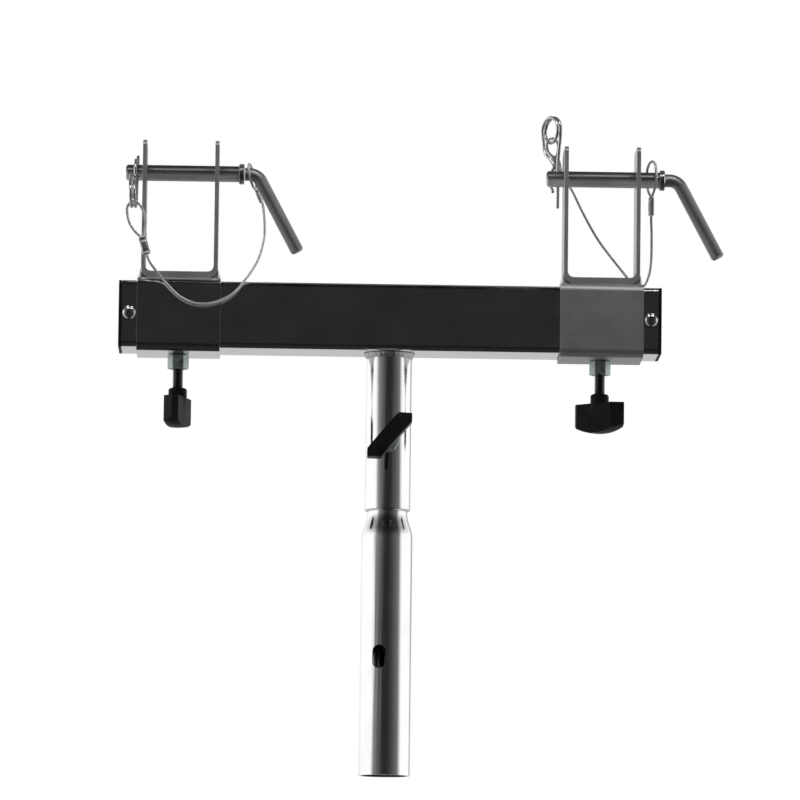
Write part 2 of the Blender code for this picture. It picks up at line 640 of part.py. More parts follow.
def clip_path():
    """Centreline of the clip: straight leg, coil, then the sprung leg round the pin."""
    coil_y, coil_z, radius = CLIP_COIL_SIDE, CLIP_COIL_HEIGHT, CLIP_COIL_RADIUS
    start_y = coil_y - radius
    points = [Vector((0.0, 0.0, -CLIP_TAIL)), Vector((0.0, 0.0, 0.0)), Vector((0.0, 0.0, CLIP_NECK_HEIGHT))]
    for share in (0.25, 0.5, 0.75):
        eased = share * share * (3 - 2 * share)
        points.append(Vector((0.0, start_y * eased,
                              CLIP_NECK_HEIGHT + (coil_z - CLIP_NECK_HEIGHT) * share)))
    steps = round(CLIP_COIL_TURNS * 16)
    for step in range(steps + 1):
        turned_by = 2 * math.pi * CLIP_COIL_TURNS * step / steps
        angle = math.pi - turned_by
        points.append(Vector((-CLIP_TURN_PITCH * CLIP_COIL_TURNS * step / steps,
                              coil_y + radius * math.cos(angle), coil_z + radius * math.sin(angle))))
    side = -CLIP_TURN_PITCH * CLIP_COIL_TURNS
    low_side = -CLIP_WIRE / 2
    neck_y = CLIP_WIRE * 1.4
    knots = [points[-1], Vector((side, coil_y + radius * 0.82, coil_z - radius * 0.9)),
             Vector((side, coil_y + radius * 0.58, coil_z - radius * 1.74)),
             Vector(((side + low_side) / 2, neck_y + radius * 0.3, CLIP_NECK_HEIGHT + radius * 0.3)),
             Vector((low_side, neck_y, CLIP_NECK_HEIGHT - CLIP_WIRE))]
    for degrees in (50, 25, 0, -25, -50):
        angle = math.radians(degrees)
        knots.append(Vector((low_side, CLIP_BULGE * math.cos(angle), CLIP_BULGE * math.sin(angle))))
    knots.append(Vector((low_side, neck_y + CLIP_WIRE * 0.4, -CLIP_BULGE - CLIP_WIRE * 0.3)))
    return points[:-1] + smooth_line(knots, 26)


def build_clip(side, hole):
    finish(tube(clip_path(), CLIP_WIRE, 2), side + "_pin_clip", PLATED_DULL, hole)


# Lanyards

def vector(x, y, z):
    """A point given in millimetres from the middle of the pin's axis."""
    return Vector((x, y, z)) / 1000


# Each lanyard: crimps and eyes as (end of the wire side, direction towards the eye, side
# direction, eye length, eye width), then the points that the free wire hangs through.
LANYARDS = {
    "left": {
        "pin": (vector(60.1, 24.5, -16.1), (-0.26, -0.795, 0.548), (0.0, 0.57, 0.82), 0.0239, 0.0155),
        "clip": (vector(-24.0, -36.1, -66.3), (-0.28, 0.10, 0.955), (1.0, 0.0, 0.0), 0.0278, 0.0125),
        "wire": [vector(62.8, 20.0, -32.0), vector(62.6, 4.0, -48.0),
                 vector(58.5, -12.0, -66.0), vector(50.0, -25.0, -82.0),
                 vector(38.0, -31.5, -96.0), vector(20.0, -32.5, -102.5), vector(3.0, -32.5, -98.5),
                 vector(-12.0, -33.0, -84.5)],
    },
    "right": {
        "pin": (vector(37.5, 0.0, -26.5), (0.0, 0.0, 1.0), (-0.36, 0.93, 0.0), 0.0272, 0.0174),
        "clip": (vector(-31.0, 23.5, 9.5), (-0.247, -0.653, 0.717), (0.86, 0.16, 0.48), 0.0162, 0.009),
        "wire": [vector(38.3, 7.0, -42.0), vector(38.6, 17.0, -59.3), vector(37.0, 26.0, -70.2),
                 vector(32.5, 32.5, -77.0), vector(25.4, 34.0, -73.1), vector(14.7, 32.5, -60.9),
                 vector(1.5, 29.5, -44.7), vector(-7.0, 27.5, -31.5), vector(-14.8, 26.0, -17.0),
                 vector(-22.1, 24.8, -2.9)],
    },
}


def eye_points(foot, along, across, length, width):
    """A loop from the crimp's end and back to it, in the plane of the two directions."""
    strand = 2 * WIRE * 0.62 / width
    one_side = [(strand, 0.0), (strand, 0.05), (0.72, 0.26), (1.0, 0.52), (0.78, 0.87)]
    shape = one_side + [(0.0, 1.0)] + [(-aside, ahead) for aside, ahead in reversed(one_side)]
    knots = [foot + across * (aside * width / 2) + along * (ahead * length) for aside, ahead in shape]
    return [knots[0], *smooth_line(knots[1:-1], EYE_POINTS), knots[-1]]


def build_lanyard(side, axis):
    plan = LANYARDS[side]
    ends = {}
    for end in ("pin", "clip"):
        start, along, across, length, width = plan[end]
        along = Vector(along).normalized()
        across = Vector(across)
        across = (across - along * across.dot(along)).normalized()
        third = along.cross(across)
        frame = Matrix((across, third, along)).transposed().to_4x4()
        middle = start + along * (FERRULE_LENGTH / 2)
        outline = rounded_rectangle(FERRULE_WIDTH, FERRULE_THICKNESS, FERRULE_THICKNESS / 2 - 1e-5, 4)
        finish(extruded([outline], FERRULE_LENGTH), side + "_lanyard_" + end + "_crimp", FERRULE_METAL,
               axis, Matrix.Translation(middle) @ frame)
        foot = start + along * (FERRULE_LENGTH + SEAT)
        finish(tube(eye_points(foot, along, across, length, width), WIRE, 2),
               side + "_lanyard_" + end + "_eye", WIRE_METAL, axis)
        ends[end] = (start - along * 1.5 * SEAT, start - along * (1.5 * SEAT + 2 * WIRE))
    knots = [*ends["pin"], *plan["wire"], *reversed(ends["clip"])]
    finish(tube(smooth_line(knots, WIRE_POINTS), WIRE, 2), side + "_lanyard", WIRE_METAL, axis)


# Assembly

build_mast()
HEAD = empty("head_axis", (0.0, 0.0, 0.0))
build_bar(HEAD)
build_stem(HEAD)
for SIDE, SIGN, KNOB_TURN in (("left", -1, LEFT_KNOB_TURN), ("right", 1, RIGHT_KNOB_TURN)):
    SLEEVE_FRAME = empty(SIDE + "_sleeve_frame", (SIGN * SLEEVE_X, 0.0, BAR_HEIGHT), HEAD)
    build_sleeve(SIDE, SLEEVE_FRAME)
    build_cradle(SIDE, SLEEVE_FRAME)
    SCREW_AXIS = empty(SIDE + "_screw_axis", (0.0, 0.0, -BAR_SIDE / 2), SLEEVE_FRAME)
    build_wing_screw(SIDE, SCREW_AXIS, CLAMP_AT_SLEEVE, KNOB_TURN)
    PIN_AXIS = empty(SIDE + "_pin_axis", (0.0, 0.0, PIN_Z), SLEEVE_FRAME)
    build_pin(SIDE, PIN_AXIS)
    build_clip(SIDE, empty(SIDE + "_clip_frame", (CLIP_X, 0.0, 0.0), PIN_AXIS, clip_frame(SIDE)))
    build_lanyard(SIDE, PIN_AXIS)
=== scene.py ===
"""Looks for the truss support head: materials, wire ropes, clips, threads and weld beads
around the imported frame, with the studio and the camera. Metres, the frame's own axes."""
import json
import math

import bmesh
import bpy
from mathutils import Matrix, Vector, noise

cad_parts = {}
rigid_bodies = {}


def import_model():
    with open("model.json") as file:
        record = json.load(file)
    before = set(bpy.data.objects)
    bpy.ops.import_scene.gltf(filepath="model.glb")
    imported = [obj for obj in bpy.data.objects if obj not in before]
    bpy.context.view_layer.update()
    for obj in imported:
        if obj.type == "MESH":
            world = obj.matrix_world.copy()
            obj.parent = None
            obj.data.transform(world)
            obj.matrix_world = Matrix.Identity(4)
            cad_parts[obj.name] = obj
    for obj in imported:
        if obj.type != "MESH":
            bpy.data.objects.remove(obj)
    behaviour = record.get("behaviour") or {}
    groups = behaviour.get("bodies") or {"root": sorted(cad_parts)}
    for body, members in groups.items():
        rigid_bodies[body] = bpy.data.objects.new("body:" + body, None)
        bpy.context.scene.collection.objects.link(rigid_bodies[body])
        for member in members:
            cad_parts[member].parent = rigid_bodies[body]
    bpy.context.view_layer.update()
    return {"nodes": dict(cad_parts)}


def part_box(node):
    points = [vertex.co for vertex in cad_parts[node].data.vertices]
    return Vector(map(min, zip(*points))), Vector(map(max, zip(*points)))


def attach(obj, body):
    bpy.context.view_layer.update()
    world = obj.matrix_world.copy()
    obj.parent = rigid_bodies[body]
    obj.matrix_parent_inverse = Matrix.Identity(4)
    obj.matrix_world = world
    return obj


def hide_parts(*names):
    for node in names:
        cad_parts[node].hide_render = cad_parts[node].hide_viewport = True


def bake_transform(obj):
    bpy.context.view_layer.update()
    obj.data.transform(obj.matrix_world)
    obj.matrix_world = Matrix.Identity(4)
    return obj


for thing in list(bpy.data.objects):
    bpy.data.objects.remove(thing, do_unlink=True)

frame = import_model()
NODES = frame["nodes"]

BAR_HEIGHT = 0.340
PIN_HEIGHT = 0.449
CRADLE_OFFSET = 0.1575
SIDES = {"left": Vector((-CRADLE_OFFSET, 0.0, PIN_HEIGHT)),
         "right": Vector((CRADLE_OFFSET, 0.0, PIN_HEIGHT))}
CLAMPS = ("left", "right", "stem")

# Camera

CAMERA_AZIMUTH = math.radians(0.99)
CAMERA_ELEVATION = math.radians(-7.24)
CAMERA_ROLL = math.radians(0.73)
CAMERA_DISTANCE = 4.8
FOCAL_PIXELS = 6422.0
FRAME_PIXELS = 800.0
SENSOR_WIDTH = 36.0      # millimetres
VIEW_END = 50.0
AIM_RIGHT, AIM_DOWN = 0.0077, 0.0591     # picture's centre from the bar's centre


def make_camera():
    turn, tilt = CAMERA_AZIMUTH, CAMERA_ELEVATION
    centre = Vector((0.0, 0.0, BAR_HEIGHT))
    look = Vector((math.sin(turn) * math.cos(tilt), math.cos(turn) * math.cos(tilt), -math.sin(tilt)))
    right = Vector((math.cos(turn), -math.sin(turn), 0.0))
    up = right.cross(look)
    rolled_right = right * math.cos(CAMERA_ROLL) + up * math.sin(CAMERA_ROLL)
    rolled_up = up * math.cos(CAMERA_ROLL) - right * math.sin(CAMERA_ROLL)
    eye = centre - look * CAMERA_DISTANCE
    aim = centre + rolled_right * AIM_RIGHT - rolled_up * AIM_DOWN
    back = (eye - aim).normalized()
    side = rolled_up.cross(back).normalized()
    data = bpy.data.cameras.new("camera")
    data.sensor_width = SENSOR_WIDTH
    data.lens = FOCAL_PIXELS / FRAME_PIXELS * SENSOR_WIDTH
    data.clip_end = VIEW_END
    camera = bpy.data.objects.new("camera", data)
    bpy.context.scene.collection.objects.link(camera)
    axes = Matrix((side, back.cross(side), back)).transposed().to_4x4()
    camera.matrix_world = Matrix.Translation(eye) @ axes
    bpy.context.scene.camera = camera


make_camera()

# Node helpers


def math_node(tree, kind, first, second=0.0):
    """A calculation on two values, each a number or another node's output."""
    node = tree.nodes.new("ShaderNodeMath")
    node.operation = kind
    for socket, value in zip(node.inputs, (first, second)):
        if isinstance(value, float):
            socket.default_value = value
        else:
            tree.links.new(value, socket)
    return node.outputs["Value"]


class Shader:
    """A material's node tree, with short calls for the nodes used here."""

    def __init__(self, name):
        self.material = bpy.data.materials.new(name)
        self.material.use_nodes = True
        self.tree = self.material.node_tree
        self.main = self.tree.nodes["Principled BSDF"]
        self.place = self.add("ShaderNodeTexCoord").outputs["Object"]

    def add(self, kind):
        return self.tree.nodes.new(kind)

    def link(self, source, target):
        self.tree.links.new(source, target)

    def set(self, **values):
        for name, value in values.items():
            self.main.inputs[name.replace("_", " ")].default_value = value

    def stretched(self, scale):
        node = self.add("ShaderNodeMapping")
        node.inputs["Scale"].default_value = scale
        self.link(self.place, node.inputs["Vector"])
        return node.outputs["Vector"]

    def noise(self, scale, detail, stretch=None):
        node = self.add("ShaderNodeTexNoise")
        node.inputs["Scale"].default_value = scale
        node.inputs["Detail"].default_value = detail
        self.link(self.stretched(stretch) if stretch else self.place, node.inputs["Vector"])
        return node.outputs["Fac"]

    def spread(self, value, low, high, out_low, out_high):
        node = self.add("ShaderNodeMapRange")
        limits = {"From Min": low, "From Max": high, "To Min": out_low, "To Max": out_high}
        for name, number in limits.items():
            node.inputs[name].default_value = number
        self.link(value, node.inputs["Value"])
        return node.outputs["Result"]

    def ramp(self, value, stops):
        node = self.add("ShaderNodeValToRGB")
        ramp = node.color_ramp
        while len(ramp.elements) < len(stops):
            ramp.elements.new(0.5)
        for element, (place, colour) in zip(ramp.elements, stops):
            element.position = place
            element.color = (*colour, 1.0)
        self.link(value, node.inputs["Fac"])
        return node.outputs["Color"]

    def bump(self, height, strength, distance, under=None):
        node = self.add("ShaderNodeBump")
        node.inputs["Strength"].default_value = strength
        node.inputs["Distance"].default_value = distance
        self.link(height, node.inputs["Height"])
        if under is not None:
            self.link(under, node.inputs["Normal"])
        return node.outputs["Normal"]


def grey(level, tint=(1.0, 1.0, 1.0)):
    return tuple(level * share for share in tint)


SHADE_AND_SATIN_EDGE = 0.3, 0.55    # where the painted top shade and the rubbed satin underside give way, as shares of the piece's height
WORN_ROUGHNESS = 0.4


def plated(name, streak, low, high, level, tint=(0.99, 1.0, 1.0), painted_top_shade=0.0):
    """Bright plating over drawn steel: faint streaks along the metal, clouds and fine scratches.
    Its roughness runs from low to high. Where a share is given, the upper side's colour is darkened by
    it as painted shade, so the underside looks paler, and the underside is also rougher, a rubbed
    satin finish."""
    shader = Shader(name)
    clouds = shader.noise(scale=38.0, detail=4.0)
    along = shader.noise(scale=900.0, detail=2.0, stretch=streak)
    specks = shader.noise(scale=1500.0, detail=2.0)
    colour = shader.ramp(clouds, [(0.3, grey(level * 0.93, tint)), (0.55, grey(level, tint)),
                                  (0.75, grey(level * 1.04, tint))])
    rough = math_node(shader.tree, "ADD", shader.spread(clouds, 0.35, 0.7, low, (low + high) / 2),
                      shader.spread(along, 0.35, 0.8, 0.0, (high - low) / 2))
    # Painted shade: the colour darkens up the piece's height by the given share, paler below; the
    # underside's roughness also rises to satin
    if painted_top_shade:
        height = shader.add("ShaderNodeSeparateXYZ")
        shader.link(shader.add("ShaderNodeTexCoord").outputs["Generated"], height.inputs[0])
        kept = shader.spread(height.outputs["Z"], *SHADE_AND_SATIN_EDGE, 1.0, 1.0 - painted_top_shade)
        painted_shade_colour = shader.add("ShaderNodeVectorMath")
        painted_shade_colour.operation = "MULTIPLY"
        shader.link(colour, painted_shade_colour.inputs[0])
        shader.link(kept, painted_shade_colour.inputs[1])
        colour = painted_shade_colour.outputs["Vector"]
        rough = math_node(shader.tree, "ADD", rough,
                          shader.spread(height.outputs["Z"], *SHADE_AND_SATIN_EDGE, WORN_ROUGHNESS, 0.0))
    shader.link(colour, shader.main.inputs["Base Color"])
    shader.link(rough, shader.main.inputs["Roughness"])
    fine = shader.bump(specks, strength=0.05, distance=0.0002)
    streaks = shader.bump(along, strength=0.10, distance=0.0003, under=fine)
    shader.link(streaks, shader.main.inputs["Normal"])
    shader.set(Metallic=1.0)
    return shader.material


def black_moulded(name, rough):
    """Black plastic with a fine moulded grain and slight rubbing."""
    shader = Shader(name)
    grain = shader.noise(scale=2600.0, detail=2.0)
    clouds = shader.noise(scale=60.0, detail=4.0)
    shader.link(shader.ramp(clouds, [(0.3, grey(0.004)), (0.7, grey(0.009))]),
                shader.main.inputs["Base Color"])
    shader.link(shader.spread(clouds, 0.3, 0.7, rough - 0.05, rough + 0.12),
                shader.main.inputs["Roughness"])
    shader.link(shader.bump(grain, strength=0.25, distance=0.0003), shader.main.inputs["Normal"])
    shader.set(Metallic=0.0, Specular_IOR_Level=0.06)
    return shader.material


def weld_metal(name, level, rough, tint=(1.0, 1.0, 1.0)):
    """Plated over a weld or a forging: duller and mottled, with small pits."""
    shader = Shader(name)
    clouds = shader.noise(scale=300.0, detail=4.0)
    pits = shader.noise(scale=1400.0, detail=3.0)
    shader.link(shader.ramp(clouds, [(0.3, grey(level * 0.5, tint)), (0.6, grey(level * 0.8, tint)),
                                     (0.8, grey(level, tint))]), shader.main.inputs["Base Color"])
    shader.link(shader.spread(clouds, 0.3, 0.7, rough, rough + 0.2), shader.main.inputs["Roughness"])
    shader.link(shader.bump(pits, strength=0.4, distance=0.0004), shader.main.inputs["Normal"])
    shader.set(Metallic=1.0)
    return shader.material


# How far the streaks are drawn out along each axis
ALONG_X, ALONG_Z, EVEN = (0.02, 1.0, 1.0), (1.0, 1.0, 0.02), (1.0, 1.0, 1.0)
MATERIALS = {
    "tube_x": plated("plated_tube_across", ALONG_X, low=0.05, high=0.14, level=0.88),
    "tube_z": plated("plated_tube_upright", ALONG_Z, low=0.06, high=0.16, level=0.88),
    "sleeve": plated("plated_sleeve", ALONG_X, low=0.07, high=0.16, level=0.84),
    "right_sleeve": plated("plated_sleeve_satin", ALONG_X, low=0.46, high=0.56, level=0.58),
    "strap": plated("plated_strap", ALONG_Z, low=0.44, high=0.58, level=0.64),
    # The pins' upper sides carry painted shade; the left pin's plating is also a darker copy of the
    # right pin's, with the same roughness
    "left_pin": plated("plated_pin_darker", ALONG_X, low=0.3, high=0.4, level=0.9, painted_top_shade=0.8),
    "right_pin": plated("plated_pin", ALONG_X, low=0.3, high=0.4, level=1.0, painted_top_shade=0.8),
    "handle": plated("plated_handle", EVEN, low=0.4, high=0.52, level=0.44),
    "fastener": plated("zinc_fastener", EVEN, low=0.14, high=0.28, level=0.7, tint=(0.95, 1.0, 0.97)),
    "thread": plated("blackened_thread", EVEN, low=0.24, high=0.36, level=0.17),
    "spring": plated("zinc_spring_wire", EVEN, low=0.2, high=0.34, level=0.7),
    "rope": plated("bright_rope_wire", EVEN, low=0.34, high=0.46, level=0.84),
    "crimp": plated("pressed_aluminium", EVEN, low=0.28, high=0.42, level=0.66),
    "weld": weld_metal("weld_bead", level=0.96, rough=0.3),
    "nut": weld_metal("welded_nut", level=0.96, rough=0.44, tint=(0.88, 1.0, 0.96)),
    "plastic": black_moulded("black_moulded_plastic", rough=0.34),
    "plug": black_moulded("black_plug_plastic", rough=0.42),
}

# CAD nodes: softened edges, smooth shading and materials

CRISP_EDGE = math.radians(31)            # sharper edges of the frame's solids stay crisp
BEVELLED_EDGE = math.radians(35)         # sharper ones are rounded, where a rounding is given
MERGE_DISTANCE = 1e-6
TUBE_ROUND, PLATE_ROUND, NUT_ROUND, KNOB_ROUND = 0.0004, 0.0006, 0.0008, 0.0013


def smooth_group():
    """Shades smooth, with the crisp edges kept."""
    group = bpy.data.node_groups.new("smooth_by_angle", "GeometryNodeTree")
    group.interface.new_socket("Geometry", in_out="INPUT", socket_type="NodeSocketGeometry")
    group.interface.new_socket("Geometry", in_out="OUTPUT", socket_type="NodeSocketGeometry")
    nodes, links = group.nodes, group.links
    start, end = nodes.new("NodeGroupInput"), nodes.new("NodeGroupOutput")
    angle = nodes.new("GeometryNodeInputMeshEdgeAngle")
    compare = nodes.new("FunctionNodeCompare")
    compare.data_type = "FLOAT"
    compare.operation = "LESS_EQUAL"
    compare.inputs["B"].default_value = CRISP_EDGE
    faces = nodes.new("GeometryNodeSetShadeSmooth")
    faces.domain = "FACE"
    edges = nodes.new("GeometryNodeSetShadeSmooth")
    edges.domain = "EDGE"
    links.new(start.outputs[0], faces.inputs["Geometry"])
    links.new(faces.outputs["Geometry"], edges.inputs["Geometry"])
    links.new(angle.outputs["Unsigned Angle"], compare.inputs["A"])
    links.new(compare.outputs["Result"], edges.inputs["Shade Smooth"])
    links.new(edges.outputs["Geometry"], end.inputs[0])
    return group


SMOOTH = smooth_group()


def dress(node, material, edge=0.0, steps=2):
    """Gives a CAD node its material, joins its faces and rounds its edges by this much."""
    piece = NODES[node]
    for slot in piece.material_slots:
        slot.material = MATERIALS[material]
    weld = piece.modifiers.new("join", "WELD")
    weld.merge_threshold = MERGE_DISTANCE
    if edge:
        bevel = piece.modifiers.new("edges", "BEVEL")
        bevel.width = edge
        bevel.segments = steps
        bevel.limit_method = "ANGLE"
        bevel.angle_limit = BEVELLED_EDGE
        bevel.use_clamp_overlap = True
        bevel.miter_outer = "MITER_ARC"
    smooth = piece.modifiers.new("shading", "NODES")
    smooth.node_group = SMOOTH
    flat = piece.modifiers.new("flats", "WEIGHTED_NORMAL")
    flat.keep_sharp = True


dress("mast", "tube_z", TUBE_ROUND)
dress("stem", "tube_z", TUBE_ROUND)
dress("crossbar", "tube_x")
for side in SIDES:
    dress(side + "_end_plug", "plug", PLATE_ROUND)
    dress(side + "_stop_screw", "fastener")
    dress(side + "_stop_nut", "fastener", PLATE_ROUND)
    dress(side + "_sleeve", "right_sleeve" if side == "right" else "sleeve", TUBE_ROUND)
    dress(side + "_cradle", "strap", PLATE_ROUND)
    dress(side + "_pin", side + "_pin")
    dress(side + "_pin_collar", "fastener")
    dress(side + "_pin_handle", "handle")
for place in CLAMPS:
    dress(place + "_weld_nut", "nut", NUT_ROUND)
    dress(place + "_wing_knob", "plastic", KNOB_ROUND, steps=3)

# New pieces

CRISP_NEW_EDGE = math.radians(50)        # sharper edges of the new pieces stay crisp
LINE_STEPS = 20                          # of a smooth line between two of its knots


def mesh_piece(name, rings, material, body, node, loop=False):
    """A skin over rings of points, riding on a body in place of a CAD node. It is capped at both
    ends, or joined to itself where it is a loop."""
    shape = bmesh.new()
    rows = [[shape.verts.new(point) for point in ring] for ring in rings]
    count = len(rows[0])
    pairs = list(zip(rows, rows[1:])) + ([(rows[-1], rows[0])] if loop else [])
    for lower, upper in pairs:
        for i in range(count):
            j = (i + 1) % count
            shape.faces.new((lower[i], lower[j], upper[j], upper[i]))
    if not loop:
        shape.faces.new(list(reversed(rows[0])))
        shape.faces.new(rows[-1])
    bmesh.ops.recalc_face_normals(shape, faces=shape.faces)
    mesh = bpy.data.meshes.new(name)
    shape.to_mesh(mesh)
    shape.free()
    mesh.shade_smooth()
    mesh.set_sharp_from_angle(angle=CRISP_NEW_EDGE)
    mesh.materials.append(MATERIALS[material])
    piece = bpy.data.objects.new(name, mesh)
    bpy.context.scene.collection.objects.link(piece)
    if body:
        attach(piece, body)
    if node:
        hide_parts(node)
    return piece


def smooth_line(knots, count):
    """Points evenly spaced along a smooth curve through the knots."""
    ends = [2 * knots[0] - knots[1], *knots, 2 * knots[-1] - knots[-2]]
    fine = []
    for a, b, c, d in zip(ends, ends[1:], ends[2:], ends[3:]):
        for step in range(LINE_STEPS):
            t = step / LINE_STEPS
            fine.append(0.5 * ((2 * b) + (c - a) * t + (2 * a - 5 * b + 4 * c - d) * t ** 2
                               + (3 * b - a - 3 * c + d) * t ** 3))
    fine.append(knots[-1])
    lengths = [0.0]
    for a, b in zip(fine, fine[1:]):
        lengths.append(lengths[-1] + (b - a).length)
    points = []
    index = 0
    for number in range(count):
        goal = lengths[-1] * number / (count - 1)
        while index < len(fine) - 2 and lengths[index + 1] < goal:
            index += 1
        share = (goal - lengths[index]) / (lengths[index + 1] - lengths[index])
        points.append(fine[index].lerp(fine[index + 1], min(share, 1.0)))
    return points


def path_length(points):
    return sum((b - a).length for a, b in zip(points, points[1:]))


def frames(points):
    """(point, normal, binormal) along a line, carried without twist."""
    tangents = []
    for i in range(len(points)):
        before, after = points[max(i - 1, 0)], points[min(i + 1, len(points) - 1)]
        tangents.append((after - before).normalized())
    normal = tangents[0].orthogonal().normalized()
    result = []
    for point, tangent in zip(points, tangents):
        normal = (normal - tangent * normal.dot(tangent)).normalized()
        result.append((point, normal, tangent.cross(normal)))
    return result


END_SHARE = 0.25         # of a wire's radius left at its very end


def tube_rings(points, radius, sides, end_round):
    """Rings of a round wire, its ends rounded over this length."""
    rings = []
    travelled = 0.0
    total = path_length(points)
    for index, (point, normal, binormal) in enumerate(frames(points)):
        if index:
            travelled += (point - points[index - 1]).length
        size = radius
        near = min(travelled, total - travelled)
        if near < end_round:
            size = radius * max(math.sqrt(max(0.0, 1 - (1 - near / end_round) ** 2)), END_SHARE)
        rings.append([point + size * (normal * math.cos(2 * math.pi * i / sides)
                                      + binormal * math.sin(2 * math.pi * i / sides))
                      for i in range(sides)])
    return rings


ROPE_DIAMETER = 0.002
ROPE_STRANDS = 6
ROPE_LAY = 0.0105        # one turn of a strand
ROPE_GROOVE = 0.74       # share of the rope's radius between two strands
STRAND_POINTS = 3


def rope_rings(points):
    """Rings of a stranded wire: a lobe for each strand, turning along the rope."""
    rings = []
    travelled = 0.0
    for index, (point, normal, binormal) in enumerate(frames(points)):
        if index:
            travelled += (point - points[index - 1]).length
        twist = 2 * math.pi * travelled / ROPE_LAY
        ring = []
        for i in range(ROPE_STRANDS * STRAND_POINTS):
            angle = 2 * math.pi * i / (ROPE_STRANDS * STRAND_POINTS)
            lobe = 1.0 if i % STRAND_POINTS else ROPE_GROOVE
            ring.append(point + ROPE_DIAMETER / 2 * lobe
                        * (normal * math.cos(angle + twist) + binormal * math.sin(angle + twist)))
        rings.append(ring)
    return rings


def vector(x, y, z):
    """A point given in millimetres from the middle of the pin's axis."""
    return Vector((x, y, z)) / 1000


# Lanyards: the routes and crimps of the frame's own

SEAT = 0.0003
FERRULE_LENGTH, FERRULE_WIDTH, FERRULE_THICKNESS = 0.0135, 0.0062, 0.0038
FERRULE_ROUND = 0.0006   # of its ends
FERRULE_ROWS, FERRULE_SIDES = 36, 28
FERRULE_FLATNESS = 0.72  # 1 is a plain oval, and less is squarer
HALF_WAVES = 3           # along a ferrule: the first and the last are its pressed bands
EYE_POINTS = 21
WIRE_POINTS = 34
LANYARDS = {
    "left": {
        "pin": (vector(60.1, 24.5, -16.1), (-0.26, -0.795, 0.548), (0.0, 0.57, 0.82), 0.0239, 0.0155),
        "clip": (vector(-24.0, -36.1, -66.3), (-0.28, 0.10, 0.955), (1.0, 0.0, 0.0), 0.0278, 0.0125),
        "wire": [vector(62.8, 20.0, -32.0), vector(62.6, 4.0, -48.0),
                 vector(58.5, -12.0, -66.0), vector(50.0, -25.0, -82.0),
                 vector(38.0, -31.5, -96.0), vector(20.0, -32.5, -102.5), vector(3.0, -32.5, -98.5),
                 vector(-12.0, -33.0, -84.5)],
    },
    "right": {
        "pin": (vector(37.5, 0.0, -26.5), (0.0, 0.0, 1.0), (-0.36, 0.93, 0.0), 0.0272, 0.0174),
        "clip": (vector(-31.0, 23.5, 9.5), (-0.247, -0.653, 0.717), (0.86, 0.16, 0.48), 0.0162, 0.009),
        "wire": [vector(38.3, 7.0, -42.0), vector(38.6, 17.0, -59.3), vector(37.0, 26.0, -70.2),
                 vector(32.5, 32.5, -77.0), vector(25.4, 34.0, -73.1), vector(14.7, 32.5, -60.9),
                 vector(1.5, 29.5, -44.7), vector(-7.0, 27.5, -31.5), vector(-14.8, 26.0, -17.0),
                 vector(-22.1, 24.8, -2.9)],
    },
}
ROPE_STEP = 0.0009


def resampled(points, step):
    return smooth_line(points, max(int(path_length(points) / step), 4))


def eye_points(foot, along, across, length, width):
    """A loop from the crimp's end and back to it, in the plane of the two directions."""
    strand = 2 * ROPE_DIAMETER * 0.62 / width
    one_side = [(strand, 0.0), (strand, 0.05), (0.72, 0.26), (1.0, 0.52), (0.78, 0.87)]
    shape = one_side + [(0.0, 1.0)] + [(-aside, ahead) for aside, ahead in reversed(one_side)]
    knots = [foot + across * (aside * width / 2) + along * (ahead * length) for aside, ahead in shape]
    return [knots[0], *smooth_line(knots[1:-1], EYE_POINTS), knots[-1]]


def crimp_rings(middle, along, across, third):
    """An oval sleeve with two pressed bands and rounded ends."""
    rings = []
    for row in range(FERRULE_ROWS + 1):
        place = row / FERRULE_ROWS
        end = min(place, 1 - place) * FERRULE_LENGTH
        rounding = 1.0
        if end <= FERRULE_ROUND:
            rounding = 0.88 + 0.12 * math.sqrt(max(0.0, 1 - (1 - end / FERRULE_ROUND) ** 2))
        band = max(0.0, math.sin(place * math.pi * HALF_WAVES)) ** 2
        wide = FERRULE_WIDTH / 2 * (0.95 + 0.05 * band) * rounding
        thick = FERRULE_THICKNESS / 2 * (1.0 - 0.16 * band) * rounding
        centre = middle + along * (FERRULE_LENGTH * (place - 0.5))
        ring = []
        for i in range(FERRULE_SIDES):
            angle = 2 * math.pi * i / FERRULE_SIDES
            c, s = math.cos(angle), math.sin(angle)
            ring.append(centre + across * (wide * math.copysign(abs(c) ** FERRULE_FLATNESS, c))
                        + third * (thick * math.copysign(abs(s) ** FERRULE_FLATNESS, s)))
        rings.append(ring)
    return rings


def make_lanyard(side):
    origin = SIDES[side]
    plan = LANYARDS[side]
    ends = {}
    for end, body in (("pin", side + "_locking_pin"), ("clip", side + "_clip")):
        start, along, across, length, width = plan[end]
        start = start + origin
        along = Vector(along).normalized()
        across = Vector(across)
        across = (across - along * across.dot(along)).normalized()
        third = along.cross(across)
        name = side + "_lanyard_" + end
        middle = start + along * (FERRULE_LENGTH / 2)
        mesh_piece(name + "_pressed_crimp", crimp_rings(middle, along, across, third),
                                 "crimp", body, name + "_crimp")
        foot = start + along * (FERRULE_LENGTH - 2 * SEAT)
        route = resampled(eye_points(foot, along, across, length + 3 * SEAT, width), ROPE_STEP)
        mesh_piece(name + "_rope_eye", rope_rings(route), "rope", body,
                                 name + "_eye")
        ends[end] = (start - along * 1.5 * SEAT, start - along * (1.5 * SEAT + 2 * ROPE_DIAMETER))
    knots = [*ends["pin"], *[point + origin for point in plan["wire"]], *reversed(ends["clip"])]
    route = smooth_line(knots, WIRE_POINTS)
    fine = resampled(route, ROPE_STEP)
    rope = mesh_piece(side + "_lanyard_rope", rope_rings(fine), "rope", None, None)
    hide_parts(side + "_lanyard")
    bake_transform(rope)


for side in SIDES:
    make_lanyard(side)

# Spring clips: the frame's own line, in finer steps

